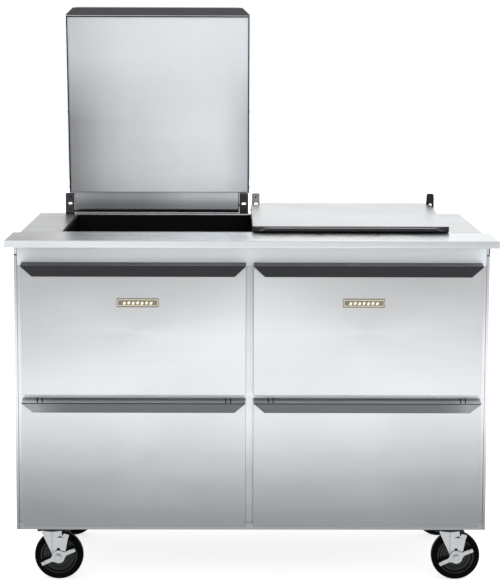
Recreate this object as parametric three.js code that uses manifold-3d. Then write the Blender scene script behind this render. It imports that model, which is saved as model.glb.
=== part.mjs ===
// Refrigerated sandwich prep table: four drawers, open-top pan well with two hinged lids, swivel casters.
// Millimetres, +Z up, front towards -Y. Built with Y = 0 at the front edge of the worktop, then centred.
import * as THREE from "three";
import { ConvexGeometry } from "three/addons/geometries/ConvexGeometry.js";
import { mergeVertices } from "three/addons/utils/BufferGeometryUtils.js";
import Module from "manifold-3d";

// ---- driving dimensions -------------------------------------------------
const GAP = 0.3; // clearance between touching pieces
const TOP_W = 1219.2; // worktop width, 48 in
const TOP_Z = 889; // worktop height, 35 in
const TOP_T = 18; // worktop edge thickness
const SHELF_D = 205.7; // front ledge depth
const DECK_Y0 = 206, DECK_Y1 = 762; // deck front and rear
const BODY_HW = 592; // half width of the cabinet
const WALL = 20; // insulated wall thickness
const LIP = 7.7; // side sheet seen from the front, outside the face frame
const FRAME_Y = 52; // front plane of the face frame
const BODY_Y1 = 750; // rear plane of the cabinet
const FLOOR_Z = 150; // underside of the cabinet
const SKIRT_Z = 849; // lower edge of the worktop skirt
const REAR_Y = 776; // rearmost point (power inlet)
const MID_Y = REAR_Y / 2; // centring offset

const WELL_HX = 485, WELL_Y0 = 228, WELL_Y1 = 741, WELL_Z0 = 768; // pan well opening
const WELL_T = 4;

const DR_IN = { left: 14.7, right: 4 }, DR_X1 = 573; // drawer front, inner (either side of the off-centre mullion) and outer X
const DR_Y0 = 24, DR_Y1 = 51; // drawer front slab, face and back
const DR_UP = [499, 831], DR_LO = [163, 488]; // drawer front heights
const DROPS = { upper: 34, lower: 32.5 }, HANDLE_TIP_Y = 4, HANDLE_INSET = 26;
const BOX_Y1 = 470; // rear of the drawer pans
const BOX_T = 3;

const PIVOT_Y = 755, PIVOT_Z = 912; // lid hinge axis
const LID_X0 = 2.5, LID_X1 = 506; // lid inner and outer X
const LID_Y0 = 212, LID_Y1 = 763; // lid skin front and rear
const LID_Z0 = 892; // underside of the lid
const LID_ZF = 906, LID_ZR = 919.4; // top of the lid, front and rear
const LID_TIP_Y = 191, LID_INSET = 20, LID_INSET_TOP = 36;
const RAIL_Y1 = 772; // rear face of the rail behind each lid
const LID_OPEN = 79; // degrees open as drawn, left lid
const NOTCH_Y = 714; // rear corner notches start here
const PIN_R = 3.5;

const WHEEL_R = 62.5, WHEEL_W = 32, CASTER_X = 510, TRAIL = 17;
const CASTER_YF = 145, CASTER_YR = 605;

// ---- helpers ------------------------------------------------------------
const wasm = await Module();
wasm.setup();
const { Manifold, Mesh: MMesh } = wasm;

function solid(geometry) {
  const g = geometry.index ? geometry.toNonIndexed() : geometry.clone();
  g.deleteAttribute("normal");
  g.deleteAttribute("uv");
  const m = mergeVertices(g, 1e-4);
  return new Manifold(
    new MMesh({
      numProp: 3,
      vertProperties: m.attributes.position.array,
      triVerts: new Uint32Array(m.index.array),
    }),
  );
}
function geometryOf(s) {
  const m = s.getMesh();
  const n = m.numProp;
  const v = new Float32Array(m.numVert * 3);
  for (let i = 0; i < m.numVert; i++) v.set(m.vertProperties.subarray(i * n, i * n + 3), i * 3);
  const g = new THREE.BufferGeometry();
  g.setAttribute("position", new THREE.BufferAttribute(v, 3));
  g.setIndex(new THREE.BufferAttribute(new Uint32Array(m.triVerts), 1));
  g.computeVertexNormals();
  return g;
}
// Axis-aligned block between two corners.
function box(x0, x1, y0, y1, z0, z1) {
  const g = new THREE.BoxGeometry(Math.abs(x1 - x0), Math.abs(y1 - y0), Math.abs(z1 - z0));
  g.translate((x0 + x1) / 2, (y0 + y1) / 2, (z0 + z1) / 2);
  return solid(g);
}
// Convex solid through a set of corner points.
function hull(points) {
  return solid(new ConvexGeometry(points.map((p) => new THREE.Vector3(...p))));
}
// Cylinder along an axis: centre point, radius, length.
function rod(axis, x, y, z, r, len, seg = 20, r2 = r) {
  const g = new THREE.CylinderGeometry(r2, r, len, seg, 1);
  if (axis === "z") g.rotateX(Math.PI / 2);
  if (axis === "x") g.rotateZ(-Math.PI / 2);
  g.translate(x, y, z);
  return solid(g);
}
// Ring profile [radius, height] revolved about the Y axis of the part, closed loop.
// Turned half a step, with the radii grown so that the flats touch the true circle.
function revolveY(profile, x, y, z, seg = 32) {
  const k = 1 / Math.cos(Math.PI / seg);
  const loop = profile.map((p) => new THREE.Vector2(p[0] * k, p[1]));
  loop.push(loop[0].clone());
  const g = new THREE.LatheGeometry(loop, seg);
  g.rotateY(Math.PI / seg);
  g.translate(x, y, z);
  return solid(g);
}
const rad = (d) => (d * Math.PI) / 180;
// Opens a lid solid about its hinge line by a number of degrees.
function swing(s, degrees) {
  return s
    .translate([0, -PIVOT_Y, -PIVOT_Z])
    .rotate([-degrees, 0, 0])
    .translate([0, PIVOT_Y, PIVOT_Z]);
}

const look = {
  steel: { color: 0xc9cccd, roughness: 0.32, metalness: 1 },
  satin: { color: 0xd3d5d6, roughness: 0.38, metalness: 1 },
  dark: { color: 0x3b3e41, roughness: 0.42, metalness: 0.1 },
  black: { color: 0x141516, roughness: 0.5, metalness: 0 },
  zinc: { color: 0xb9bec0, roughness: 0.35, metalness: 1 },
  tyre: { color: 0x1a1b1c, roughness: 0.6, metalness: 0 },
  copper: { color: 0x8f9496, roughness: 0.4, metalness: 1 },
  enamel: { color: 0x17181a, roughness: 0.35, metalness: 0.2 },
  badge: { color: 0x8d8a7c, roughness: 0.4, metalness: 0.8 },
};
const materials = Object.fromEntries(
  Object.entries(look).map(([k, v]) => [k, new THREE.MeshStandardMaterial(v)]),
);
const root = new THREE.Group();
root.name = "prep_table";
const groups = {};
function put(group, name, s, material) {
  if (!groups[group]) {
    groups[group] = new THREE.Group();
    groups[group].name = group;
    root.add(groups[group]);
  }
  const mesh = new THREE.Mesh(geometryOf(s.translate([0, -MID_Y, 0])), materials[material]);
  mesh.name = name;
  groups[group].add(mesh);
}
const sides = [
  ["left", -1],
  ["right", 1],
];
// Block given for the right-hand side, mirrored for the left.
const sbox = (s, x0, x1, y0, y1, z0, z1) =>
  s > 0 ? box(x0, x1, y0, y1, z0, z1) : box(-x1, -x0, y0, y1, z0, z1);

// ---- worktop ------------------------------------------------------------
const HW = TOP_W / 2;
const e = 3; // rolled edge bevel
let shelf = hull([
  [-HW, e, TOP_Z], [HW, e, TOP_Z], [-HW, 0, TOP_Z - e], [HW, 0, TOP_Z - e],
  [-HW, 0, TOP_Z - TOP_T], [HW, 0, TOP_Z - TOP_T],
  [-HW, SHELF_D, TOP_Z], [HW, SHELF_D, TOP_Z],
  [-HW, SHELF_D, TOP_Z - TOP_T], [HW, SHELF_D, TOP_Z - TOP_T],
])
  .add(box(-BODY_HW, -BODY_HW + LIP, FRAME_Y, SHELF_D, SKIRT_Z, TOP_Z - TOP_T + 1))
  .add(box(BODY_HW - LIP, BODY_HW, FRAME_Y, SHELF_D, SKIRT_Z, TOP_Z - TOP_T + 1));
put("worktop", "front_shelf", shelf, "steel");

const deck = box(-BODY_HW, BODY_HW, DECK_Y0, DECK_Y1, TOP_Z - TOP_T, TOP_Z)
  .subtract(box(-WELL_HX, WELL_HX, WELL_Y0, WELL_Y1, 800, 900))
  .add(box(-BODY_HW, -BODY_HW + LIP, DECK_Y0, DECK_Y1, SKIRT_Z, TOP_Z - TOP_T + 1))
  .add(box(BODY_HW - LIP, BODY_HW, DECK_Y0, DECK_Y1, SKIRT_Z, TOP_Z - TOP_T + 1))
  .add(box(-BODY_HW + LIP - 1, BODY_HW - LIP + 1, DECK_Y1 - 11, DECK_Y1, SKIRT_Z, TOP_Z - TOP_T + 1));
put("worktop", "worktop_deck", deck, "steel");

const wellO = [-WELL_HX + GAP, WELL_HX - GAP, WELL_Y0 + GAP, WELL_Y1 - GAP];
const well = box(...wellO, WELL_Z0, TOP_Z - 2).subtract(
  box(wellO[0] + WELL_T, wellO[1] - WELL_T, wellO[2] + WELL_T, wellO[3] - WELL_T, WELL_Z0 + WELL_T, 900),
);
put("worktop", "pan_well", well, "black");
put(
  "worktop", "pan_divider_bar",
  box(-12, 12, wellO[2] + WELL_T + GAP, wellO[3] - WELL_T - GAP, TOP_Z - 22, TOP_Z - 6)
    .add(box(-10, -8, wellO[2] + WELL_T + GAP, wellO[3] - WELL_T - GAP, TOP_Z - 30, TOP_Z - 21))
    .add(box(8, 10, wellO[2] + WELL_T + GAP, wellO[3] - WELL_T - GAP, TOP_Z - 30, TOP_Z - 21)),
  "black",
);

// ---- cabinet ------------------------------------------------------------
for (const [side, s] of sides)
  put("cabinet", `side_panel_${side}`,
    sbox(s, BODY_HW - WALL, BODY_HW, 80 + GAP, BODY_Y1, FLOOR_Z, SKIRT_Z - GAP)
      .add(sbox(s, BODY_HW - LIP, BODY_HW, FRAME_Y, 81, FLOOR_Z, SKIRT_Z - GAP)), "steel");

const fx = BODY_HW - WALL - GAP, fy0 = FRAME_Y, fy1 = 80;
const ffx = BODY_HW - LIP - GAP; // half width of the face frame
put("cabinet", "cabinet_floor",
  box(-ffx, ffx, FRAME_Y, fy1, FLOOR_Z, FLOOR_Z + WALL).add(box(-fx, fx, fy1 - 1, BODY_Y1, FLOOR_Z, FLOOR_Z + WALL)), "steel");

const frame = box(-ffx, ffx, fy0, fy1, 822, TOP_Z - TOP_T - GAP)
  .add(box(-25, 16.6, fy0, fy1, FLOOR_Z + WALL + GAP, 823))
  .add(box(-ffx, -566, fy0, fy1, FLOOR_Z + WALL + GAP, 823))
  .add(box(566, ffx, fy0, fy1, FLOOR_Z + WALL + GAP, 823))
  .add(box(-ffx, ffx, fy0, fy1, 480, 506));
put("cabinet", "face_frame", frame, "steel");

let back = box(-fx, fx, BODY_Y1 - 5, BODY_Y1, FLOOR_Z + WALL + GAP, SKIRT_Z - GAP);
for (let i = 0; i < 12; i++) {
  const z = 215 + i * 20;
  back = back.subtract(box(120, 500, BODY_Y1 - 20, BODY_Y1 + 20, z, z + 8));
}
put("cabinet", "back_panel", back, "steel");
put("cabinet", "rear_bulkhead", box(-fx, fx, 522, 534, FLOOR_Z + WALL + GAP, WELL_Z0 - GAP), "satin");

// slide racks: a hanging plate with C-channels at each drawer
const RAIL_Z = [700, 395]; // runner centre heights
function rack(x0, x1, dirs) {
  let r = box(x0, x1, 82, 478, 190, 740);
  for (const z of RAIL_Z)
    for (const d of dirs) {
      const a = d > 0 ? x1 - 0.5 : x0 + 0.5;
      const b = d > 0 ? x1 + 11 : x0 - 11;
      r = r.add(box(a, b, 82, 478, z - 10, z - 7.5)).add(box(a, b, 82, 478, z + 7.5, z + 10));
    }
  return r;
}
put("cabinet", "slide_rack_left", rack(-fx, -fx + 4, [1]), "zinc");
put("cabinet", "slide_rack_right", rack(fx - 4, fx, [-1]), "zinc");
put("cabinet", "slide_rack_center", rack(-14, 14, [-1, 1]), "zinc");

// ---- refrigeration ------------------------------------------------------
let comp = rod("z", -300, 640, 270, 78, 120, 28)
  .add(rod("z", -300, 640, 336, 78, 14, 28, 60))
  .add(box(-400, -200, 570, 710, FLOOR_Z + WALL + GAP, 182))
  .add(rod("z", -300, 640, 196, 50, 32, 20))
  .add(rod("z", -225, 640, 330, 6, 150, 12));
put("refrigeration", "compressor", comp, "enamel");
let coil = box(140, 480, 700, 738, FLOOR_Z + WALL + GAP, 470);
for (let i = 0; i < 11; i++) coil = coil.subtract(box(156 + i * 29, 168 + i * 29, 690, 722, 200, 455));
coil = coil.add(box(140, 160, 560, 705, FLOOR_Z + WALL + GAP, 190)).add(box(460, 480, 560, 705, FLOOR_Z + WALL + GAP, 190));
// fan motor on a strap in front of the coil
coil = coil
  .add(rod("y", 310, 610, 330, 32, 60, 20))
  .add(box(300, 320, 575, 582, 175, 330))
  .add(box(150, 470, 575, 582, FLOOR_Z + WALL + GAP, 182));
put("refrigeration", "condenser_unit", coil, "copper");
let fan = rod("y", 310, 659, 330, 24, 22, 20);
for (let i = 0; i < 5; i++) {
  const a = (i * 360) / 5;
  const blade = box(-22, 22, -1.6, 1.6, 18, 100).rotate([0, 0, 28]).rotate([0, a, 0]).translate([310, 659, 330]);
  fan = fan.add(blade);
}
put("refrigeration", "condenser_fan", fan, "zinc");
let evap = box(-190, 190, 484, 520, 560, 740);
for (let i = 0; i < 10; i++) evap = evap.subtract(box(-176 + i * 36, -158 + i * 36, 480, 510, 570, 730));
put("refrigeration", "evaporator_coil", evap, "copper");
put(
  "refrigeration", "power_inlet",
  box(-480, -410, BODY_Y1 + GAP, BODY_Y1 + 12, 230, 290).add(rod("y", -445, (REAR_Y + BODY_Y1 + GAP) / 2, 260, 16, REAR_Y - BODY_Y1 - GAP, 20).subtract(rod("y", -445, 772, 260, 7, 16, 16))),
  "black",
);

// ---- drawers ------------------------------------------------------------
const rows = [["upper", DR_UP, 560, 742, RAIL_Z[0]], ["lower", DR_LO, 205, 440, RAIL_Z[1]]];
for (const [side, s] of sides)
  for (const [row, [z0, z1], bz0, bz1, rz] of rows) {
    const id = `${row}_${side}`;
    const zt = z1 - 9; // slab top under the handle cap
    const DR_X0 = DR_IN[side];
    const slab = sbox(s, DR_X0, DR_X1, DR_Y0, DR_Y1, z0, zt);
    put(`drawer_${id}`, `drawer_front_${id}`, slab, "steel");
    // full-width pull: sloping ledge, then an undercut face with mitred ends
    const HANDLE_DROP = DROPS[row];
    const cx = (s * (DR_X0 + DR_X1)) / 2, hw = (DR_X1 - DR_X0) / 2;
    const P = (dx, y, dz) => [cx + dx, y, z1 + dz];
    const pull = hull([
      P(-hw, DR_Y1, -1), P(hw, DR_Y1, -1), P(-hw, DR_Y1, -9 + GAP), P(hw, DR_Y1, -9 + GAP),
      P(-hw + 1, 20, -9 + GAP), P(hw - 1, 20, -9 + GAP),
      P(-hw + 1.4, HANDLE_TIP_Y, -4.6), P(hw - 1.4, HANDLE_TIP_Y, -4.6), P(-hw + 1.4, HANDLE_TIP_Y, -6.8), P(hw - 1.4, HANDLE_TIP_Y, -6.8),
    ]).add(
      hull([
        P(-hw + 2, HANDLE_TIP_Y, -5.7), P(hw - 2, HANDLE_TIP_Y, -5.7), P(-hw + 2, HANDLE_TIP_Y + 0.5, -7.6), P(hw - 2, HANDLE_TIP_Y + 0.5, -7.6),
        P(-hw + 2, DR_Y0 - GAP, -4), P(hw - 2, DR_Y0 - GAP, -4), P(-hw + 2, DR_Y0 - GAP, -6), P(hw - 2, DR_Y0 - GAP, -6),
        P(-hw + 2 + HANDLE_INSET, DR_Y0 - GAP, -HANDLE_DROP), P(hw - 2 - HANDLE_INSET, DR_Y0 - GAP, -HANDLE_DROP),
        P(-hw + 2 + HANDLE_INSET, DR_Y0 - 3, -HANDLE_DROP), P(hw - 2 - HANDLE_INSET, DR_Y0 - 3, -HANDLE_DROP),
      ]),
    );
    put(`drawer_${id}`, `handle_${id}`, pull, "dark");
    // open-topped pan with side runners
    const x0 = 32, x1 = 556, y0 = DR_Y1 + GAP;
    const pan = sbox(s, x0, x1, y0, BOX_Y1, bz0, bz1)
      .subtract(sbox(s, x0 + BOX_T, x1 - BOX_T, y0 + BOX_T, BOX_Y1 - BOX_T, bz0 + BOX_T, bz1 + 50))
      .add(sbox(s, x0 - 6, x0 + 0.5, 84, BOX_Y1, rz - 6, rz + 6))
      .add(sbox(s, x1 - 0.5, x1 + 6, 84, BOX_Y1, rz - 6, rz + 6));
    put(`drawer_${id}`, `drawer_pan_${id}`, pan, "satin");
    if (row === "upper") {
      const bx = s < 0 ? -283 : 278;
      put(`drawer_${id}`, `badge_${side}`,
        box(bx - 52, bx + 52, DR_Y0 - GAP - 2, DR_Y0 - GAP, 721, 743).add(box(bx - 49, bx + 49, DR_Y0 - GAP - 3, DR_Y0 - GAP - 1.5, 724, 740)),
        "badge");
    }
  }

// ---- lids ---------------------------------------------------------------
// Height of the sloping lid top at depth y.
const zTop = (y) => LID_ZF + ((LID_ZR - LID_ZF) * (y - LID_Y0)) / (LID_Y1 - LID_Y0);
// Wedge between x0..x1 and y0..y1, from z0 to the lid top lowered by drop.
const wedge = (x0, x1, y0, y1, z0, drop) =>
  hull([
    [x0, y0, z0], [x1, y0, z0], [x0, y1, z0], [x1, y1, z0],
    [x0, y0, zTop(y0) - drop], [x1, y0, zTop(y0) - drop], [x0, y1, zTop(y1) - drop], [x1, y1, zTop(y1) - drop],
  ]);
const T = 2.4; // lid skin thickness
const NI = 30.7, NO = 493.3; // inner and outer limits of the hinge strip
for (const [side, s] of sides) {
  const X = (a, b) => (s > 0 ? [a, b] : [-b, -a]);
  const full = wedge(...X(LID_X0, LID_X1), LID_Y0, NOTCH_Y, LID_Z0, 0).add(wedge(...X(NI, NO), NOTCH_Y - 1, LID_Y1, LID_Z0, 0));
  const inner = wedge(...X(LID_X0 + T, LID_X1 - T), LID_Y0 + T, NOTCH_Y - T, LID_Z0 - 5, T).add(
    wedge(...X(NI + T, NO - T), NOTCH_Y - T - 1, LID_Y1 - T, LID_Z0 - 5, T),
  );
  const holes = rod("x", s * (NI + NO) / 2, PIVOT_Y, PIVOT_Z, PIN_R + 0.5, 600, 20);
  const skin = full.subtract(inner).subtract(holes);
  const k = T + GAP;
  // liner: a flat inner sheet with a short upturned edge
  const zl = LID_Z0 + 0.6;
  const liner = box(...X(LID_X0 + k, LID_X1 - k), LID_Y0 + k, NOTCH_Y - k, zl, zl + 2).add(
    box(...X(NI + k, NO - k), NOTCH_Y - k - 1, LID_Y1 - k, zl, zl + 2),
  );
  // flat seal ring under the liner
  const g0 = LID_Z0 - 2, g1 = LID_Z0 + 0.3;
  const ring = box(...X(LID_X0 + 1, LID_X1 - 1), LID_Y0 + 1, NOTCH_Y - 3, g0, g1)
    .subtract(box(...X(LID_X0 + 4.5, LID_X1 - 4.5), LID_Y0 + 4.5, NOTCH_Y - 6.5, g0 - 5, g1 + 5))
    .subtract(skin);
  const grip = hull([
    [s * LID_X0, LID_Y0 - GAP, LID_Z0], [s * LID_X1, LID_Y0 - GAP, LID_Z0],
    [s * LID_X0, LID_Y0 - GAP, LID_ZF - 0.4], [s * LID_X1, LID_Y0 - GAP, LID_ZF - 0.4],
    [s * (LID_X0 + LID_INSET), LID_TIP_Y, 895.4], [s * (LID_X1 - LID_INSET), LID_TIP_Y, 895.4],
    [s * (LID_X0 + LID_INSET_TOP), LID_TIP_Y, 902.4], [s * (LID_X1 - LID_INSET_TOP), LID_TIP_Y, 902.4],
  ]);
  const a = s < 0 ? LID_OPEN : 0;
  put(`lid_${side}`, `lid_skin_${side}`, swing(skin, a), "steel");
  put(`lid_${side}`, `lid_liner_${side}`, swing(liner, a), "satin");
  put(`lid_${side}`, `lid_seal_${side}`, swing(ring, a), "black");
  put(`lid_${side}`, `lid_grip_${side}`, swing(grip, a), "dark");
  // rail along the rear edge, its lower corner cut back to clear the deck as the lid turns
  const r0 = LID_Y1 + GAP;
  const rail = hull([NI, NO].flatMap((x) => [[s * x, r0, LID_Z0 + 0.4], [s * x, RAIL_Y1, 898.2], [s * x, RAIL_Y1, 917], [s * x, r0, 918.8]]));
  put(`lid_${side}`, `lid_rear_rail_${side}`, swing(rail, a), "black");
}

// hinge brackets: front plate with a slot, side cheek, foot and hinge pin
const brackets = [
  ["bracket_left_outer", -519, -494, 1, -511.5, -500],
  ["bracket_left_inner", -30, -5, -1, -24, -11],
  ["bracket_right_inner", 5, 27, 1, 11, 23],
  ["bracket_right_outer", 497, 518, -1, 0, 0],
];
for (const [name, x0, x1, d, h0, h1] of brackets) {
  const c0 = d > 0 ? x1 - 3 : x0, c1 = d > 0 ? x1 : x0 + 3;
  const pinX = d > 0 ? x1 : x0;
  const b = box(x0, x1, 748, 751, TOP_Z + GAP, 947)
    .add(box(c0, c1, 750, 766, TOP_Z + GAP, 924))
    .add(box(x0, x1, 748, 762, TOP_Z + GAP, TOP_Z + 3))
    .subtract(h1 ? box(h0, h1, 740, 752, 914.5, 920.5) : rod("y", 508, 746, 915, 4.2, 12, 20))
    .add(rod("x", pinX + d * 6, PIVOT_Y, PIVOT_Z, PIN_R, 15, 16));
  put("hinges", name, b, "zinc");
}

// ---- casters ------------------------------------------------------------
const casters = [
  ["front_left", -CASTER_X, CASTER_YF, true],
  ["front_right", CASTER_X, CASTER_YF, true],
  ["rear_left", -CASTER_X, CASTER_YR, false],
  ["rear_right", CASTER_X, CASTER_YR, false],
];
const wheelProfile = [
  [6.5, -20], [14, -20], [14, -12], [38, -9], [42, -14], [50, -16], [59, -15], [WHEEL_R, -9],
  [WHEEL_R, 9], [59, 15], [50, 16], [42, 14], [38, 9], [14, 12], [14, 20], [6.5, 20],
];
for (const [id, kx, ky, brake] of casters) {
  const ax = kx + TRAIL;
  put(`caster_${id}`, `caster_plate_${id}`,
    box(kx - 47, kx + 47, ky - 47, ky + 47, 145, FLOOR_Z - GAP).add(rod("z", kx, ky, 141, 34, 9, 24)), "zinc");
  let fork = rod("z", kx, ky, 132.3, 36, 8, 24).add(box(kx - 37, kx + 37, ky - 26.5, ky + 26.5, 128, 132));
  for (const d of [-1, 1]) {
    const ya = ky + d * 23, yb = ky + d * 26.5;
    fork = fork.add(
      hull([
        [kx - 37, ya, 132], [kx + 37, ya, 132], [kx - 37, yb, 132], [kx + 37, yb, 132],
        [kx - 37, ya, 118], [kx + 37, ya, 118], [kx - 37, yb, 118], [kx + 37, yb, 118],
        [ax - 15, ya, 62], [ax + 15, ya, 62], [ax - 15, yb, 62], [ax + 15, yb, 62],
        [ax - 8, ya, 51], [ax + 8, ya, 51], [ax - 8, yb, 51], [ax + 8, yb, 51],
      ]),
    );
  }
  fork = fork.add(rod("y", ax, ky, WHEEL_R, 5.8, 74, 20)).add(rod("y", ax, ky + 30, WHEEL_R, 9, 7.4, 6));
  put(`caster_${id}`, `caster_fork_${id}`, fork, "zinc");
  put(`caster_${id}`, `caster_wheel_${id}`, revolveY(wheelProfile, ax, ky, WHEEL_R, 40), "tyre");
  if (brake) {
    const bar = box(-47, 47, -3.2, 0, -6.5, 6.5)
      .add(rod("y", 0, -1.8, 0, 17, 3.6, 24))
      .add(box(36, 47, -6.5, 0, -6.5, 6.5))
      .subtract(rod("y", 0, 0, 0, 6.4, 20, 20))
      .rotate([0, -24, 0])
      .translate([ax, ky - 27, WHEEL_R]);
    put(`caster_${id}`, `brake_lever_${id}`, bar, "zinc");
  }
}

export default root;
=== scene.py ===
import bpy, bmesh, math
from mathutils import Vector, Matrix


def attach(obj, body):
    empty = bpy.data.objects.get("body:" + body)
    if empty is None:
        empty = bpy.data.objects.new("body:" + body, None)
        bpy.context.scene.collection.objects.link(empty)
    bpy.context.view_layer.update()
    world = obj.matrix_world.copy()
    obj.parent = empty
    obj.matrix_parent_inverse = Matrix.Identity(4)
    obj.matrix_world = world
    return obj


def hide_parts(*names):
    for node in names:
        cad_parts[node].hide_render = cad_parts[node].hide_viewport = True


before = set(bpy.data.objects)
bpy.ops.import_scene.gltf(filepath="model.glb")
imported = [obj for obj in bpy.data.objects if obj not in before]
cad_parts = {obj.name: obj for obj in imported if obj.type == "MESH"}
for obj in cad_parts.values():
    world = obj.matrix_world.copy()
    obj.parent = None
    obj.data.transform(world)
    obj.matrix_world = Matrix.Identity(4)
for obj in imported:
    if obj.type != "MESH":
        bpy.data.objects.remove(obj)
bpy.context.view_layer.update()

MID = 388.0  # mm from the ledge's front edge to the row origin


def V(x, y, z):
    return Vector((x / 1000, (y - MID) / 1000, z / 1000))


# ------------------------------------------------------------------ camera
cam_data = bpy.data.cameras.new("camera")
cam = bpy.data.objects.new("camera", cam_data)
bpy.context.scene.collection.objects.link(cam)
bpy.context.scene.camera = cam
CAM_POS = V(-43.8, -5008.3, 1404.4)
PITCH, YAW, ROLL, F_PX = 0.12818, 0.00798, 0.00318, 2048.6
cam_data.sensor_width = 36
cam_data.lens = F_PX / 587 * 36
cam_data.clip_end = 100
fwd = Vector((math.sin(YAW) * math.cos(PITCH), math.cos(YAW) * math.cos(PITCH), -math.sin(PITCH)))
rgt = Vector((math.cos(YAW), -math.sin(YAW), 0))
up = rgt.cross(fwd)
r2 = rgt * math.cos(ROLL) + up * math.sin(ROLL)
u2 = up * math.cos(ROLL) - rgt * math.sin(ROLL)
rot = Matrix((r2, u2, -fwd)).transposed()
cam.matrix_world = Matrix.Translation(CAM_POS) @ rot.to_4x4()


# ------------------------------------------------------------ mesh builder
class B:
    """Collects shapes given in millimetres into one mesh."""

    def __init__(self):
        self.bm = bmesh.new()

    def _take(self, t, m, matrix=None):
        if matrix is not None:
            bmesh.ops.transform(t, matrix=matrix, verts=t.verts)
        bmesh.ops.recalc_face_normals(t, faces=t.faces)
        vm = {}
        for v in t.verts:
            vm[v] = self.bm.verts.new(v.co)
        for f in t.faces:
            try:
                nf = self.bm.faces.new([vm[v] for v in f.verts])
                nf.material_index = m
            except ValueError:
                pass
        t.free()
        return self

    def _round(self, t, r, seg, ang=25):
        if r > 0:
            es = [e for e in t.edges if len(e.link_faces) == 2 and e.calc_face_angle(0) > math.radians(ang)]
            bmesh.ops.bevel(t, geom=es, offset=r, segments=seg, profile=0.5, affect="EDGES", clamp_overlap=True)

    def box(self, x0, x1, y0, y1, z0, z1, r=0.6, seg=2, m=0, matrix=None):
        t = bmesh.new()
        bmesh.ops.create_cube(t, size=1)
        for v in t.verts:
            v.co = Vector(((x0 + x1) / 2 + v.co.x * (x1 - x0), (y0 + y1) / 2 + v.co.y * (y1 - y0), (z0 + z1) / 2 + v.co.z * (z1 - z0)))
        self._round(t, min(r, abs(x1 - x0) * 0.45, abs(y1 - y0) * 0.45, abs(z1 - z0) * 0.45), seg)
        return self._take(t, m, matrix)

    def extrude(self, pts, axis, a, b, r=0.6, seg=2, m=0, matrix=None, ang=25):
        """Closed outline pts in the two other axes (cyclic order), from a to b along axis."""
        def P(u, v, w):
            return {"x": (w, u, v), "y": (u, w, v), "z": (u, v, w)}[axis]
        t = bmesh.new()
        A = [t.verts.new(P(u, v, a)) for u, v in pts]
        C = [t.verts.new(P(u, v, b)) for u, v in pts]
        n = len(pts)
        t.faces.new(A)
        t.faces.new(C)
        for i in range(n):
            t.faces.new((A[i], A[(i + 1) % n], C[(i + 1) % n], C[i]))
        bmesh.ops.recalc_face_normals(t, faces=t.faces)
        self._round(t, r, seg, ang)
        return self._take(t, m, matrix)

    def hull(self, pts, r=0.6, seg=2, m=0, matrix=None):
        t = bmesh.new()
        vs = [t.verts.new(p) for p in pts]
        bmesh.ops.convex_hull(t, input=vs)
        bmesh.ops.dissolve_limit(t, angle_limit=math.radians(1), verts=t.verts, edges=t.edges)
        bmesh.ops.recalc_face_normals(t, faces=t.faces)
        self._round(t, r, seg)
        return self._take(t, m, matrix)

    def lathe(self, prof, axis, c, seg=48, m=0, matrix=None, closed=True):
        """prof: (radius, height) loop turned about axis through c."""
        t = bmesh.new()
        rings = []
        for r, h in prof:
            ring = []
            if r < 1e-6:
                ring = [t.verts.new(self._ax(axis, c, 0, 0, h))]
            else:
                for i in range(seg):
                    a = 2 * math.pi * i / seg
                    ring.append(t.verts.new(self._ax(axis, c, r * math.cos(a), r * math.sin(a), h)))
            rings.append(ring)
        k = len(rings)
        for j in range(k if closed else k - 1):
            p, q = rings[j], rings[(j + 1) % k]
            for i in range(seg):
                i2 = (i + 1) % seg
                if len(p) == 1 and len(q) == 1:
                    continue
                if len(p) == 1:
                    t.faces.new((p[0], q[i2], q[i]))
                elif len(q) == 1:
                    t.faces.new((p[i], p[i2], q[0]))
                else:
                    t.faces.new((p[i], p[i2], q[i2], q[i]))
        return self._take(t, m, matrix)

    @staticmethod
    def _ax(axis, c, a, b, h):
        if axis == "z":
            return (c[0] + a, c[1] + b, c[2] + h)
        if axis == "y":
            return (c[0] + a, c[1] + h, c[2] + b)
        return (c[0] + h, c[1] + a, c[2] + b)

    def cyl(self, axis, c, r, h, seg=24, ch=0.5, m=0, matrix=None):
        h2 = h / 2
        prof = [(0, -h2), (r - ch, -h2), (r, -h2 + ch), (r, h2 - ch), (r - ch, h2), (0, h2)]
        return self.lathe(prof, axis, c, seg, m, matrix, closed=False)

    def hexhead(self, axis, c, r, h, m=0, matrix=None):
        return self.cyl(axis, c, r, h, 6, 0.6, m, matrix)

    def screw(self, axis, c, r, h, sign=1, m=0, matrix=None):
        """Pan-head screw, c on the surface, head standing out by h along sign * axis."""
        prof = [(0, -0.3), (r, -0.3), (r, h * 0.35), (r * 0.92, h * 0.7), (r * 0.7, h), (r * 0.3, h), (r * 0.22, h * 0.55), (0, h * 0.55)]
        prof = [(a, b * sign) for a, b in prof]
        return self.lathe(prof, axis, c, 20, m, matrix, closed=False)

    def obj(self, name, body, mats, rep=(), ang=32, sub=None):
        bmesh.ops.remove_doubles(self.bm, verts=self.bm.verts, dist=0.0005)
        for v in self.bm.verts:
            v.co = V(*v.co)
        me = bpy.data.meshes.new(name)
        bmesh.ops.recalc_face_normals(self.bm, faces=self.bm.faces)
        self.bm.to_mesh(me)
        self.bm.free()
        o = bpy.data.objects.new(name, me)
        bpy.context.scene.collection.objects.link(o)
        for mt in mats if isinstance(mats, (list, tuple)) else [mats]:
            me.materials.append(mt)
        me.polygons.foreach_set("use_smooth", [True] * len(me.polygons))
        me.set_sharp_from_angle(angle=math.radians(ang))
        w = o.modifiers.new("normals", "WEIGHTED_NORMAL")
        w.keep_sharp = True
        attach(o, body)
        if rep:
            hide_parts(*([rep] if isinstance(rep, str) else rep))
        return o


def turn_about(p, axis, deg):
    p = Vector(p)
    return Matrix.Translation(p) @ Matrix.Rotation(math.radians(deg), 4, axis) @ Matrix.Translation(-p)


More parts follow.
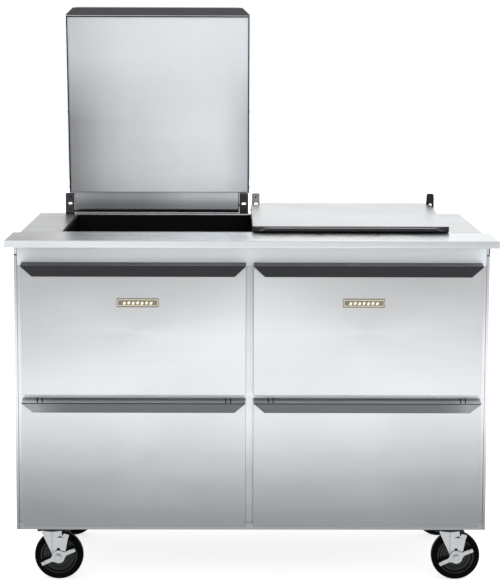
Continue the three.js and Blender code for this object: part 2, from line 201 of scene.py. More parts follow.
# --------------------------------------------------------------- materials
def _mat(name):
    m = bpy.data.materials.new(name)
    m.use_nodes = True
    nt = m.node_tree
    nt.nodes.clear()
    out = nt.nodes.new("ShaderNodeOutputMaterial")
    p = nt.nodes.new("ShaderNodeBsdfPrincipled")
    nt.links.new(p.outputs[0], out.inputs[0])
    tc = nt.nodes.new("ShaderNodeTexCoord")
    return m, nt, p, tc


def _noise(nt, tc, scale, s=1.0, detail=3, rough=0.55, loc=(0, 0, 0)):
    mp = nt.nodes.new("ShaderNodeMapping")
    mp.inputs["Scale"].default_value = scale
    mp.inputs["Location"].default_value = loc
    nt.links.new(tc.outputs["Object"], mp.inputs[0])
    n = nt.nodes.new("ShaderNodeTexNoise")
    n.inputs["Scale"].default_value = s
    n.inputs["Detail"].default_value = detail
    n.inputs["Roughness"].default_value = rough
    nt.links.new(mp.outputs[0], n.inputs[0])
    return n


def _range(nt, sock, a, b, c, d):
    r = nt.nodes.new("ShaderNodeMapRange")
    r.inputs[1].default_value, r.inputs[2].default_value = a, b
    r.inputs[3].default_value, r.inputs[4].default_value = c, d
    nt.links.new(sock, r.inputs[0])
    return r.outputs[0]


def _math(nt, op, a, b):
    n = nt.nodes.new("ShaderNodeMath")
    n.operation = op
    for i, v in enumerate((a, b)):
        if isinstance(v, (int, float)):
            n.inputs[i].default_value = v
        else:
            nt.links.new(v, n.inputs[i])
    return n.outputs[0]


def _tint(nt, colour, factor):
    """colour times a scalar socket."""
    n = nt.nodes.new("ShaderNodeMix")
    n.data_type = "RGBA"
    n.blend_type = "MULTIPLY"
    n.inputs[0].default_value = 1
    n.inputs[6].default_value = (*colour, 1)
    nt.links.new(factor, n.inputs[7])
    return n.outputs[2]


# painted highlight: the colour is made brighter on sharp convex edges, by pointiness, in place of edge highlights
def _edges(nt, lo=0.505, hi=0.56, amount=0.12):
    g = nt.nodes.new("ShaderNodeNewGeometry")
    return _range(nt, g.outputs["Pointiness"], lo, hi, 0, amount)


def _ramp(nt, sock, stops):
    """Smooth factor from a list of (value, factor)."""
    a, b_ = stops[0][0], stops[-1][0]
    fac = _range(nt, sock, a, b_, 0, 1)
    cr = nt.nodes.new("ShaderNodeValToRGB")
    cr.color_ramp.interpolation = "EASE" if len(stops) < 4 else "CARDINAL"
    while len(cr.color_ramp.elements) < len(stops):
        cr.color_ramp.elements.new(0.5)
    for el, (z, v) in zip(cr.color_ramp.elements, stops):
        el.position = (z - a) / (b_ - a)
        el.color = (v, v, v, 1)
    nt.links.new(fac, cr.inputs[0])
    return cr.outputs[0]


def steel(name, base=(0.78, 0.775, 0.79), rough=0.3, grain="x", ramp=None, aniso=0.5, bump=0.12, smudge=0.05, edge=0.1, xramp=None, xlow=None, blend=(1.15, 1.33), slope=0.0, metal=1.0):
    """Brushed stainless: fine stretched grain, broad smudges, convex edges painted brighter as highlights.
    ramp: list of (height in metres, factor) for painted reflection and shade up the sheet; xramp and xlow paint the
    same across the width, blended by height."""
    m, nt, p, tc = _mat(name)
    p.inputs["Metallic"].default_value = metal
    p.inputs["Anisotropic"].default_value = aniso
    long = {"x": (3, 1400, 1400), "y": (1400, 3, 1400), "z": (1400, 1400, 3)}[grain]
    mid = {"x": (1.2, 260, 260), "y": (260, 1.2, 260), "z": (260, 260, 1.2)}[grain]
    g1 = _noise(nt, tc, long, 1, 2)
    g2 = _noise(nt, tc, mid, 1, 3)
    cl = _noise(nt, tc, (2.1, 2.1, 2.1), 1.4, 4, 0.5, (3.1, 1.7, 0.4))
    sm = _noise(nt, tc, (7, 7, 9), 1.0, 5, 0.65, (9.2, 4.1, 2.2))
    f = _math(nt, "ADD", _range(nt, g1.outputs[0], 0.25, 0.75, 0.965, 1.035), _range(nt, g2.outputs[0], 0.3, 0.7, -0.02, 0.02))
    f = _math(nt, "MULTIPLY", f, _range(nt, cl.outputs[0], 0.3, 0.7, 1 - smudge * 0.7, 1 + smudge * 0.35))
    # painted reflection and shade: ramp scales the colour by height, xramp and xlow across the width
    if ramp or xramp:
        sx = nt.nodes.new("ShaderNodeSeparateXYZ")
        nt.links.new(tc.outputs["Object"], sx.inputs[0])
    if ramp:
        zz = _math(nt, "ADD", sx.outputs[2], _math(nt, "MULTIPLY", _math(nt, "SUBTRACT", _math(nt, "ABSOLUTE", sx.outputs[0], 0), 0.29), slope))
        f = _math(nt, "MULTIPLY", f, _ramp(nt, zz, ramp))
    if xramp:
        across = _ramp(nt, sx.outputs[0], xramp)
        if xlow:
            t = _range(nt, sx.outputs[2], blend[0], blend[1], 0, 1)
            low = _ramp(nt, sx.outputs[0], xlow)
            across = _math(nt, "ADD", _math(nt, "MULTIPLY", across, t), _math(nt, "MULTIPLY", low, _math(nt, "SUBTRACT", 1, t)))
        f = _math(nt, "MULTIPLY", f, across)
    f = _math(nt, "ADD", f, _edges(nt, amount=edge))
    nt.links.new(_tint(nt, base, f), p.inputs["Base Color"])
    r = _math(nt, "ADD", _range(nt, g2.outputs[0], 0.3, 0.7, rough - 0.035, rough + 0.035), _range(nt, sm.outputs[0], 0.45, 0.75, 0, 0.09))
    nt.links.new(r, p.inputs["Roughness"])
    bp = nt.nodes.new("ShaderNodeBump")
    bp.inputs["Strength"].default_value = bump
    bp.inputs["Distance"].default_value = 0.0004
    nt.links.new(_math(nt, "ADD", g1.outputs[0], _math(nt, "MULTIPLY", g2.outputs[0], 0.6)), bp.inputs["Height"])
    nt.links.new(bp.outputs[0], p.inputs["Normal"])
    tg = nt.nodes.new("ShaderNodeTangent")
    tg.direction_type = "RADIAL"
    tg.axis = {"x": "Y", "y": "X", "z": "Z"}[grain]
    nt.links.new(tg.outputs[0], p.inputs["Tangent"])
    return m


def plastic(name, base, rough=0.45, grain=900, bump=0.15, spec=0.5, mott=0.08, edge=0.25, stretch=(1, 1, 1), xramp=None):
    m, nt, p, tc = _mat(name)
    p.inputs["Specular IOR Level"].default_value = spec
    n1 = _noise(nt, tc, tuple(grain * s for s in stretch), 1, 2)
    n2 = _noise(nt, tc, (6, 6, 6), 1.5, 4, 0.6, (1.3, 5.2, 0.7))
    f = _math(nt, "MULTIPLY", _range(nt, n1.outputs[0], 0.3, 0.7, 1 - mott, 1 + mott), _range(nt, n2.outputs[0], 0.3, 0.7, 1 - mott, 1 + mott))
    if xramp:
        sx = nt.nodes.new("ShaderNodeSeparateXYZ")
        nt.links.new(tc.outputs["Object"], sx.inputs[0])
        f = _math(nt, "MULTIPLY", f, _math(nt, "MULTIPLY", _ramp(nt, sx.outputs[0], [(a, v / 3) for a, v in xramp]), 3))
    f = _math(nt, "ADD", f, _edges(nt, amount=edge))
    nt.links.new(_tint(nt, base, f), p.inputs["Base Color"])
    r = _math(nt, "ADD", _range(nt, n2.outputs[0], 0.35, 0.7, rough - 0.06, rough + 0.07), _range(nt, n1.outputs[0], 0.3, 0.7, -0.03, 0.03))
    nt.links.new(r, p.inputs["Roughness"])
    bp = nt.nodes.new("ShaderNodeBump")
    bp.inputs["Strength"].default_value = bump
    bp.inputs["Distance"].default_value = 0.0003
    nt.links.new(n1.outputs[0], bp.inputs["Height"])
    nt.links.new(bp.outputs[0], p.inputs["Normal"])
    return m


def zinc(name, base=(0.66, 0.68, 0.7), rough=0.36):
    m, nt, p, tc = _mat(name)
    p.inputs["Metallic"].default_value = 1
    vo = nt.nodes.new("ShaderNodeTexVoronoi")
    vo.inputs["Scale"].default_value = 160
    nt.links.new(tc.outputs["Object"], vo.inputs["Vector"])
    n2 = _noise(nt, tc, (30, 30, 30), 1.5, 5, 0.6)
    n1 = _noise(nt, tc, (900, 900, 900), 1, 2)
    f = _math(nt, "MULTIPLY", _range(nt, vo.outputs["Color"], 0, 1, 0.94, 1.05), _range(nt, n2.outputs[0], 0.3, 0.7, 0.9, 1.05))
    f = _math(nt, "ADD", f, _edges(nt, amount=0.15))
    nt.links.new(_tint(nt, base, f), p.inputs["Base Color"])
    nt.links.new(_range(nt, n2.outputs[0], 0.3, 0.7, rough - 0.08, rough + 0.1), p.inputs["Roughness"])
    bp = nt.nodes.new("ShaderNodeBump")
    bp.inputs["Strength"].default_value = 0.1
    bp.inputs["Distance"].default_value = 0.0003
    nt.links.new(n1.outputs[0], bp.inputs["Height"])
    nt.links.new(bp.outputs[0], p.inputs["Normal"])
    return m


# painted reflection and shade on the drawer fronts, by height: the upper row darkens towards its top, the lower row
# towards its bottom
UPPER_PAINTED_REFLECTION = [(0.50, 0.68), (0.57, 0.68), (0.64, 0.625), (0.71, 0.54), (0.78, 0.47), (0.84, 0.42)]
LOWER_PAINTED_REFLECTION = [(0.16, 0.19), (0.22, 0.245), (0.30, 0.365), (0.37, 0.49), (0.43, 0.60), (0.49, 0.67)]
COOL = (0.965, 1.0, 1.03)


def cool(v, k=1.0):
    return tuple(v * c ** k for c in COOL)


M = dict(
    # ledge top: painted reflection and shade across the width, very dark at the left end, a little darker at the right
    top=steel("steel_top", bump=0.06, base=cool(0.97), rough=0.27, grain="x", xramp=[(-0.61, 0.12), (-0.52, 0.18), (-0.455, 0.45), (-0.35, 0.68), (-0.13, 0.82), (0, 0.98), (0.35, 0.96), (0.61, 0.80)]),
    # deck: painted reflection and shade across the width, darker to the left
    deck=steel("steel_deck", bump=0.06, base=cool(0.68), rough=0.27, grain="x", xramp=[(-0.61, 0.36), (-0.3, 0.62), (0.1, 1.0), (0.61, 0.92)]),
    # dark steel on the ledge's rounded fold: a painted dark line in place of the fold's highlight; also used on the
    # deck's right seam strip
    fold=steel("steel_fold", base=cool(0.36), rough=0.36, grain="x"),
    # darker steel for the deck's rear strip between the lids: painted shade, darkest on the left under the raised lid
    deck_rear=steel("steel_deck_rear", base=cool(0.3), rough=0.27, grain="x", xramp=[(-0.504, 0.3), (-0.28, 0.35), (-0.15, 1.1), (0, 1.1), (0.3, 1.1)]),
    # face frame and side-panel fronts: painted reflection and shade by height, darker low down towards both outer ends
    edge=steel("steel_edges", base=cool(0.6), rough=0.3, grain="z", ramp=[(0.15, 0.36), (0.22, 0.46), (0.32, 0.68), (0.42, 0.96), (0.50, 1.0), (0.60, 1.0), (0.70, 0.86), (0.78, 0.70), (0.86, 0.60)], xramp=[(-0.61, 1.0), (0.61, 1.0)], xlow=[(-0.61, 0.68), (-0.56, 0.68), (-0.4, 1.0), (0.4, 1.0), (0.56, 0.68), (0.61, 0.68)], blend=(0.18, 0.5)),
    nose=steel("steel_body", base=cool(0.55), rough=0.3, grain="x"),
    # header rail: painted reflection across the width, lighter to the left
    header=steel("steel_header", base=cool(0.70), rough=0.6, grain="x", metal=0.3, xramp=[(-0.57, 1.09), (-0.35, 1.05), (-0.1, 1.0), (0.1, 0.97), (0.57, 0.96)]),
    rail=steel("steel_rail", base=cool(0.22), rough=0.3, grain="x"),
    # nosing: painted reflection and shade across the width, darker to the right
    front=steel("steel_nosing", base=cool(0.53), rough=0.3, grain="x", xramp=[(-0.61, 1.0), (0, 1.02), (0.61, 0.74)]),
    # side panels: darker copy of the cabinet steel, painted darker against the strong light from behind, with painted
    # shade by height
    side=steel("steel_side", base=cool(0.34), rough=0.36, grain="z", ramp=[(0.15, 0.8), (0.5, 1.0), (0.85, 0.92)]),
    upper=steel("steel_upper_fronts", base=cool(0.785, 0.5), rough=0.32, grain="x", ramp=UPPER_PAINTED_REFLECTION, slope=0.24),
    lower=steel("steel_lower_fronts", base=cool(0.78, 0.75), rough=0.32, grain="x", ramp=LOWER_PAINTED_REFLECTION, slope=-0.05),
    lid=steel("steel_lid_outer", bump=0.06, base=cool(0.65), rough=0.28, grain="x"),
    # lid inner sheet: painted reflection and shade, darker up the raised lid and towards its outer edge; lower down,
    # darker at both side edges
    liner=steel("steel_lid_inner", base=cool(0.93), rough=0.5, grain="z", aniso=0.3, metal=0.25,
                ramp=[(0.94, 1.06), (1.01, 0.98), (1.07, 0.85), (1.13, 0.755), (1.185, 0.655), (1.24, 0.585), (1.30, 0.56), (1.46, 0.535)],
                xramp=[(-0.504, 0.66), (-0.45, 0.73), (-0.36, 0.90), (-0.2, 1.0), (-0.1, 0.98), (-0.004, 0.97)],
                xlow=[(-0.504, 0.22), (-0.475, 0.285), (-0.42, 0.51), (-0.36, 0.71), (-0.28, 0.86), (-0.2, 0.97), (-0.1, 0.985), (-0.06, 0.86), (-0.004, 0.58)]),
    # rear strip of the lid's inner sheet: painted shade, darker low down and towards the outer edge
    strip=steel("steel_lid_strip", base=cool(0.8), rough=0.5, grain="x", aniso=0.3, metal=0.25, ramp=[(0.897, 0.42), (0.912, 0.44), (0.925, 0.66), (0.94, 0.98)],
                xramp=[(-0.504, 0.50), (-0.42, 0.45), (-0.364, 0.50), (-0.28, 0.62), (-0.196, 0.92), (-0.11, 1.2), (-0.03, 1.25)]),
    # inside of the drawer pans: painted shade, darker towards each pan's floor
    pan_in=steel("steel_pan_inside", base=(0.66, 0.67, 0.68), rough=0.4, grain="x", aniso=0.3,
                 ramp=[(0.205, 0.36), (0.30, 0.46), (0.38, 0.66), (0.44, 1.0), (0.52, 0.36), (0.565, 0.36), (0.65, 0.52), (0.742, 1.0)]),
    pan=steel("steel_pans", base=(0.74, 0.75, 0.76), rough=0.35, grain="y", aniso=0.3),
    # back panel: darker copy of the cabinet steel, painted darker to offset the strong light from behind
    back=steel("steel_back", base=(0.38, 0.385, 0.39), rough=0.42, grain="x"),
    grip=plastic("grip_dark_grey", (0.0085, 0.009, 0.0105), 0.42, 1300, 0.12, 0.2),
    # light grey beads on the lid grip's nose edges: a painted highlight line
    grip_highlight_bead=plastic("grip_bead_grey", (0.27, 0.275, 0.285), 0.4, 1300, 0.1, 0.4),
    # lower pulls: lighter copy of the dark pull plastic, painted lighter for how the lower row is lit; the xramp makes
    # it lighter towards the outer ends
    grip_lower=plastic("grip_grey", (0.062, 0.065, 0.071), 0.38, 1300, 0.12, 0.5, xramp=[(-0.573, 4.4), (-0.55, 3.7), (-0.52, 2.1), (-0.48, 1.25), (-0.42, 1.0), (0.42, 1.0), (0.48, 1.25), (0.52, 2.1), (0.55, 3.7), (0.573, 4.4)]),
    # upper pull ledge: lighter copy of the pull plastic, a painted lit top face
    grip_top=plastic("grip_ledge_dark", (0.045, 0.047, 0.052), 0.5, 1300, 0.12, 0.3),
    # lower pull ledge: lighter copy of the lower pull plastic, a painted lit top face, lighter still towards the outer
    # ends
    grip_lower_top=plastic("grip_ledge_grey", (0.165, 0.17, 0.178), 0.5, 1300, 0.12, 0.4, xramp=[(-0.573, 2.0), (-0.53, 1.7), (-0.5, 1.1), (-0.46, 1.0), (0.46, 1.0), (0.5, 1.1), (0.53, 1.7), (0.573, 2.0)]),
    # divider bar: dead black, painted shade for the dark inside of the well
    bar=plastic("bar_black", (0.0012, 0.0012, 0.0014), 0.9, 500, 0.2, 0.0),
    bracket_pale=steel("bracket_pale", base=(0.18, 0.174, 0.162), rough=0.3, grain="z", aniso=0.2, smudge=0.3, edge=0.3),
    bracket_black=steel("bracket_black", base=(0.016, 0.016, 0.017), rough=0.3, grain="z", aniso=0.2, smudge=0.3, edge=0.3),
    grip_lid=plastic("grip_lid_grey", (0.021, 0.022, 0.025), 0.42, 1300, 0.12, 0.4),
    # well liner: near black, painted shade for the dark inside of the well
    black=plastic("liner_black", (0.0015, 0.0016, 0.0018), 0.5, 500, 0.2, 0.06),
    seal=plastic("seal_rubber", (0.008, 0.008, 0.009), 0.6, 900, 0.3, 0.3),
    seal_grey=plastic("seal_rubber_grey", (0.16, 0.165, 0.17), 0.6, 900, 0.3, 0.3),
    tyre=plastic("tyre_black", (0.0009, 0.001, 0.0012), 0.45, 700, 0.3, 0.025, 0.15, 0.04),
    hub=plastic("wheel_hub_black", (0.0022, 0.0036, 0.0039), 0.26, 900, 0.12, 0.24, 0.1, 0.1),
    zinc=zinc("zinc_plate", (0.355, 0.37, 0.376), 0.4),
    # darker zinc for the band beside each fork crease: painted shade
    zinc_crease_shade=zinc("zinc_shade", (0.3, 0.31, 0.32), 0.45),
    # near-black zinc: painted shade on the caster plates and fork tops under the cabinet; also used for hinge pins and
    # screws
    zinc_dark=zinc("zinc_dark", (0.035, 0.035, 0.037), 0.5),
    bracket=steel("bracket_steel", base=(0.055, 0.055, 0.057), rough=0.3, grain="z", aniso=0.2, smudge=0.3, edge=0.3),
    fin=zinc("coil_fins", (0.6, 0.61, 0.62), 0.4),
    enamel=plastic("black_enamel", (0.012, 0.012, 0.014), 0.3, 600, 0.15, 0.5),
    badge=steel("badge_bronze", base=(0.17, 0.16, 0.13), rough=0.32, grain="x", aniso=0.2),
    cream=plastic("badge_cream", (0.78, 0.72, 0.55), 0.4, 1500, 0.05, 0.5, 0.04, 0.05),
    gap=plastic("shadow_gap", (0.01, 0.01, 0.01), 0.8, 500, 0.1, 0.1),
)


def paint(o, index, test):
    """Give the faces that pass test(normal, centre) another material slot."""
    for f in o.data.polygons:
        if test(f.normal, f.center):
            f.material_index = index


# ---------------------------------------------------------------- worktop
HW = 609.6
b = B()
b.extrude([(205.7, 889), (0, 889), (0, 871), (205.7, 871)], "x", -HW, HW, r=1.2, seg=3)
for s in (-1, 1):
    xa, xb = sorted((s * 592, s * 584.3))
    b.box(xa, xb, 52, 205.7, 849, 871.5, 0.6)
b.box(589.8, 592.3, 51.3, 53, 850, 870.4, 0.2, 1)
o = b.obj("ledge", "cabinet", [M["top"], M["front"], M["fold"], M["seal"]], "front_shelf")
# front faces get the nosing steel with its painted reflection and shade
paint(o, 1, lambda n, c: n.y < -0.5)
# the rounded fold faces get the dark fold steel: a painted dark line instead of a highlight
paint(o, 2, lambda n, c: -0.97 < n.y < -0.15 and n.z > 0.15)
paint(o, 3, lambda n, c: c.x > 0.5896 and c.y < -0.3345 and 0.8495 < c.z < 0.8708)


def ring(bd, o, i, z0, z1, r, m=0):
    """Rectangular ring o = (x0,x1,y0,y1) with an opening i, as one bevelled slab."""
    t = bmesh.new()
    def quad(q, z):
        return [t.verts.new((q[0], q[2], z)), t.verts.new((q[1], q[2], z)), t.verts.new((q[1], q[3], z)), t.verts.new((q[0], q[3], z))]
    ot, it, ob, ib = quad(o, z1), quad(i, z1), quad(o, z0), quad(i, z0)
    for k in range(4):
        n = (k + 1) % 4
        t.faces.new((ot[k], ot[n], it[n], it[k]))
        t.faces.new((ob[k], ob[n], ib[n], ib[k]))
        t.faces.new((ot[k], ot[n], ob[n], ob[k]))
        t.faces.new((it[k], it[n], ib[n], ib[k]))
    bmesh.ops.recalc_face_normals(t, faces=t.faces)
    bd._round(t, r, 3)
    bd._take(t, m)


b = B()
ring(b, (-592, 592, 206, 762), (-485, 485, 228, 741), 871, 889, 1.2)
for s in (-1, 1):
    xa, xb = sorted((s * 592, s * 584.3))
    b.box(xa, xb, 206, 762, 849, 871.5, 0.6)
b.box(-585, 585, 751, 762, 849, 871.5, 0.6)
for xa, xb in ((-493, -31), (28, 496)):
    b.box(xa, xb, 761, 762, 888.5, 890.8, 0.2, 1, m=1)
for xa, xb in ((-591, -486), (486, 591)):
    b.box(xa, xb, 226.2, 227.4, 888.6, 889.05, 0, 1, m=3 if xa < 0 else 4)
o = b.obj("deck", "cabinet", [M["deck"], M["seal"], M["deck_rear"], M["seal_grey"], M["fold"]], "worktop_deck")
# painted shade: the rear strip of the deck between the lids gets the darker rear steel
paint(o, 2, lambda n, c: n.z > 0.9 and c.y > (738 - MID) / 1000 and c.z > 0.8885 and abs(c.x) < 0.3)

# well liner and divider bar are near black: painted shade standing in for the dark well
b = B()
t = (-484.7, 484.7, 228.3, 740.7)
ring(b, t, (t[0] + 4, t[1] - 4, t[2] + 4, t[3] - 4), 769, 886, 1.2)
b.box(t[0], t[1], t[2], t[3], 768, 772, 1)
b.obj("well_liner", "cabinet", M["black"], "pan_well")
b = B()
b.extrude([(-12, 867), (-12, 883), (12, 883), (12, 867), (10, 867), (10, 859), (8, 859), (8, 867), (-8, 867), (-8, 859), (-10, 859), (-10, 867)], "y", 232.6, 736.4, 0.5)
b.obj("divider_bar", "cabinet", M["bar"], "pan_divider_bar")

# ---------------------------------------------------------------- cabinet
for side, s in (("left", -1), ("right", 1)):
    b = B()
    xa, xb = sorted((s * 572, s * 592))
    b.box(xa, xb, 80.3, 749.8, 150, 847.2, 1.2, 3)
    xa, xb = sorted((s * 584.3, s * 592))
    b.box(xa, xb, 52, 82, 150, 847.2, 0.9, 3)
    # dark compression strip in the joint under the worktop skirt
    xc, xd = sorted((s * 584.6, s * 591.7))
    b.box(xc, xd, 51.4, 748, 846.5, 849.7, 0.3, 1, m=1)
    o = b.obj(f"side_sheet_{side}", "cabinet", [M["side"], M["seal"], M["edge"]], f"side_panel_{side}")
    # front edges of the side panel get the frame steel with its painted reflection and shade
    paint(o, 2, lambda n, c: n.y < -0.5 and c.y < (60 - MID) / 1000 and not 0.8462 < c.z < 0.8499)

b = B()
b.box(-584, 584, 52, 80, 150, 170, 0.9, 3)
b.box(-571.7, 571.7, 79, 750, 150, 170, 0.9, 2)
o = b.obj("base_sheet", "cabinet", [M["rail"]], "cabinet_floor")

b = B()
fx, ffx = 571.7, 584.0
b.box(-ffx, ffx, 52, 80, 822, 870.7, 0.9, 3, m=1)
b.box(-25, 16.6, 52.2, 80, 170.3, 823, 0.9, 3)
b.box(-ffx, -566, 52, 80, 170.3, 823, 0.9, 3)
b.box(566, ffx, 52, 80, 170.3, 823, 0.9, 3)
b.box(-567, 567, 52.4, 80, 480, 506, 0.9, 3)
b.obj("face_sheet", "cabinet", [M["edge"], M["header"]], "face_frame")

# louvred back: sheet with hooded slots and edge screws
b = B()
cols = [(120, 500)]
zs = [215 + i * 20 for i in range(12)]
b.box(-fx, 120, 745, 750, 170.3, 848.7, 0.6, 1)
b.box(500, fx, 745, 750, 170.3, 848.7, 0.6, 1)
edges = [170.3] + [z for q in zs for z in (q, q + 8)] + [848.7]
for i in range(0, len(edges), 2):
    b.box(119.5, 500.5, 745, 750, edges[i], edges[i + 1], 0.2, 1)
for z in zs:
    b.extrude([(749.5, z + 9.5), (757.5, z + 3), (757.5, z + 1.6), (756.3, z + 1.6), (749.5, z + 7.4)], "x", 121, 499, 0.3, 1)
for x in (-560, -280, 0, 280, 560):
    for z in (182, 838):
        b.screw("y", (x, 750, z), 4, 1.8, 1)
for x in (-566, 566):
    for z in (350, 520, 690):
        b.screw("y", (x, 750, z), 4, 1.8, 1)
b.obj("back_sheet", "cabinet", M["back"], "back_panel")

# power inlet: box, gland nut and ring
b = B()
b.box(-480, -410, 750.3, 762, 230, 290, 2, 3)
b.lathe([(7, 0), (15, 0), (16, 1), (16, 11), (14.5, 12.5), (9, 14), (7, 14), (7, 6)], "y", (-445, 762, 260), 32)
b.cyl("y", (-445, 765, 260), 18, 5, 6, 0.8)
for x in (-473, -417):
    for z in (237, 283):
        b.screw("y", (x, 762, z), 3, 1.6, 1, m=1)
b.obj("inlet_box", "cabinet", [M["enamel"], M["zinc"]], "power_inlet")

# ---------------------------------------------------------------- drawers
def drawer(row, side, s, z0, z1):
    i = f"{row}_{side}"
    body = f"drawer_{i}"
    face = M["upper"] if row == "upper" else M["lower"]
    xa, xb = sorted((s * (14.7 if s < 0 else 4), s * 573))
    cx = (xa + xb) / 2
    hw = (xb - xa) / 2
    b = B()
    b.box(xa, xb, 24, 51, z0, z1 - 9, 1.5, 4)
    b.obj(f"front_{i}", body, face, f"drawer_front_{i}")
    # full-width pull: ledge, rounded lip, undercut face with mitred ends
    b = B()
    P = lambda dx, y, dz: (cx + dx, y, z1 + dz)
    ends = (-1, 1)
    b.hull([P(q * hw, 51, -1) for q in ends] + [P(q * hw, 51, -8.7) for q in ends] + [P(q * (hw - 1), 20, -8.7) for q in ends]
           + [P(q * (hw - 1.4), 4, -4.6) for q in ends] + [P(q * (hw - 1.4), 4, -6.8) for q in ends], 0.7, 3)
    drop = 34 if row == "upper" else 32.5
    b.hull([P(q * (hw - 2), 4, -5.7) for q in ends] + [P(q * (hw - 2), 4.5, -7.6) for q in ends]
           + [P(q * (hw - 2), 23.7, -4) for q in ends] + [P(q * (hw - 2), 23.7, -6) for q in ends]
           + [P(q * (hw - 28), 23.7, -drop) for q in ends] + [P(q * (hw - 28), 21, -drop) for q in ends], 0.6, 3)
    for q in ends if row == "lower" else ():
        qx = cx + q * (hw - (47.3 if q == s else 43.5))
        for dx in (-6, 6):
            b.hull([(qx + dx + e + (0.0089 * (qx + dx + 4) if y > 40 else 0), y, z) for e in (-1.5, 1.5) for y, z in ((5, z1 - 4.2), (5, z1 - 5.6), (49.5, z1 - 0.7), (49.5, z1 - 2.4))], 0.1, 1, m=1)
    o = b.obj(f"pull_{i}", body, [M["grip"], M["gap"], M["grip_top"]] if row == "upper" else [M["grip_lower"], M["gap"], M["grip_lower_top"]], f"handle_{i}")
    # upward faces of the pulls get the lighter ledge plastic: painted light on the top faces
    for f in o.data.polygons:
        if f.material_index == 0 and f.normal.z > 0.8:
            f.material_index = 2
        # lower pulls: the tip faces get the near-black gap plastic, a painted dark line along the tip
        if row == "lower" and f.normal.y < -0.9 and f.center.y < -0.3836:
            f.material_index = 1


for side, s in (("left", -1), ("right", 1)):
    drawer("upper", side, s, 499, 831)
    drawer("lower", side, s, 163, 488)

# badges: blank plate, raised border and a row of plain lozenges
for side, bx in (("left", -283), ("right", 278)):
    b = B()
    b.box(bx - 52, bx + 52, 21.7, 23.7, 721, 743, 0.7, 3)
    zc = 731.5
    for za in (724.6, 739.2):
        b.box(bx - 50, bx + 50, 20.75, 22, za, za + 1.1, 0.3, 2, m=1)
    for xa in (bx - 50, bx + 49):
        b.box(xa, xa + 1, 20.75, 22, 725, 740, 0.3, 2, m=1)
    for k in range(7):
        x = bx - 33 + k * 11
        zz = zc + 0.4 * (1 if k % 2 else -1)
        b.extrude([(x - 4.4, zz - 2.6), (x - 1.4, zz + 4.0), (x + 4.4, zz + 2.6), (x + 1.4, zz - 4.0)], "y", 20.95, 21.9, 0.25, 1, m=1)
    b.obj(f"plate_{side}", f"drawer_upper_{side}", [M["badge"], M["cream"]], f"badge_{side}")

# ------------------------------------------------------------------- lids
PIV = (0, 755, 912)
LY0, LY1, NY = 212, 763, 714
ZF, ZR, ZB = 906, 919.4, 892


def ztop(y):
    return ZF + (ZR - ZF) * (y - LY0) / (LY1 - LY0)


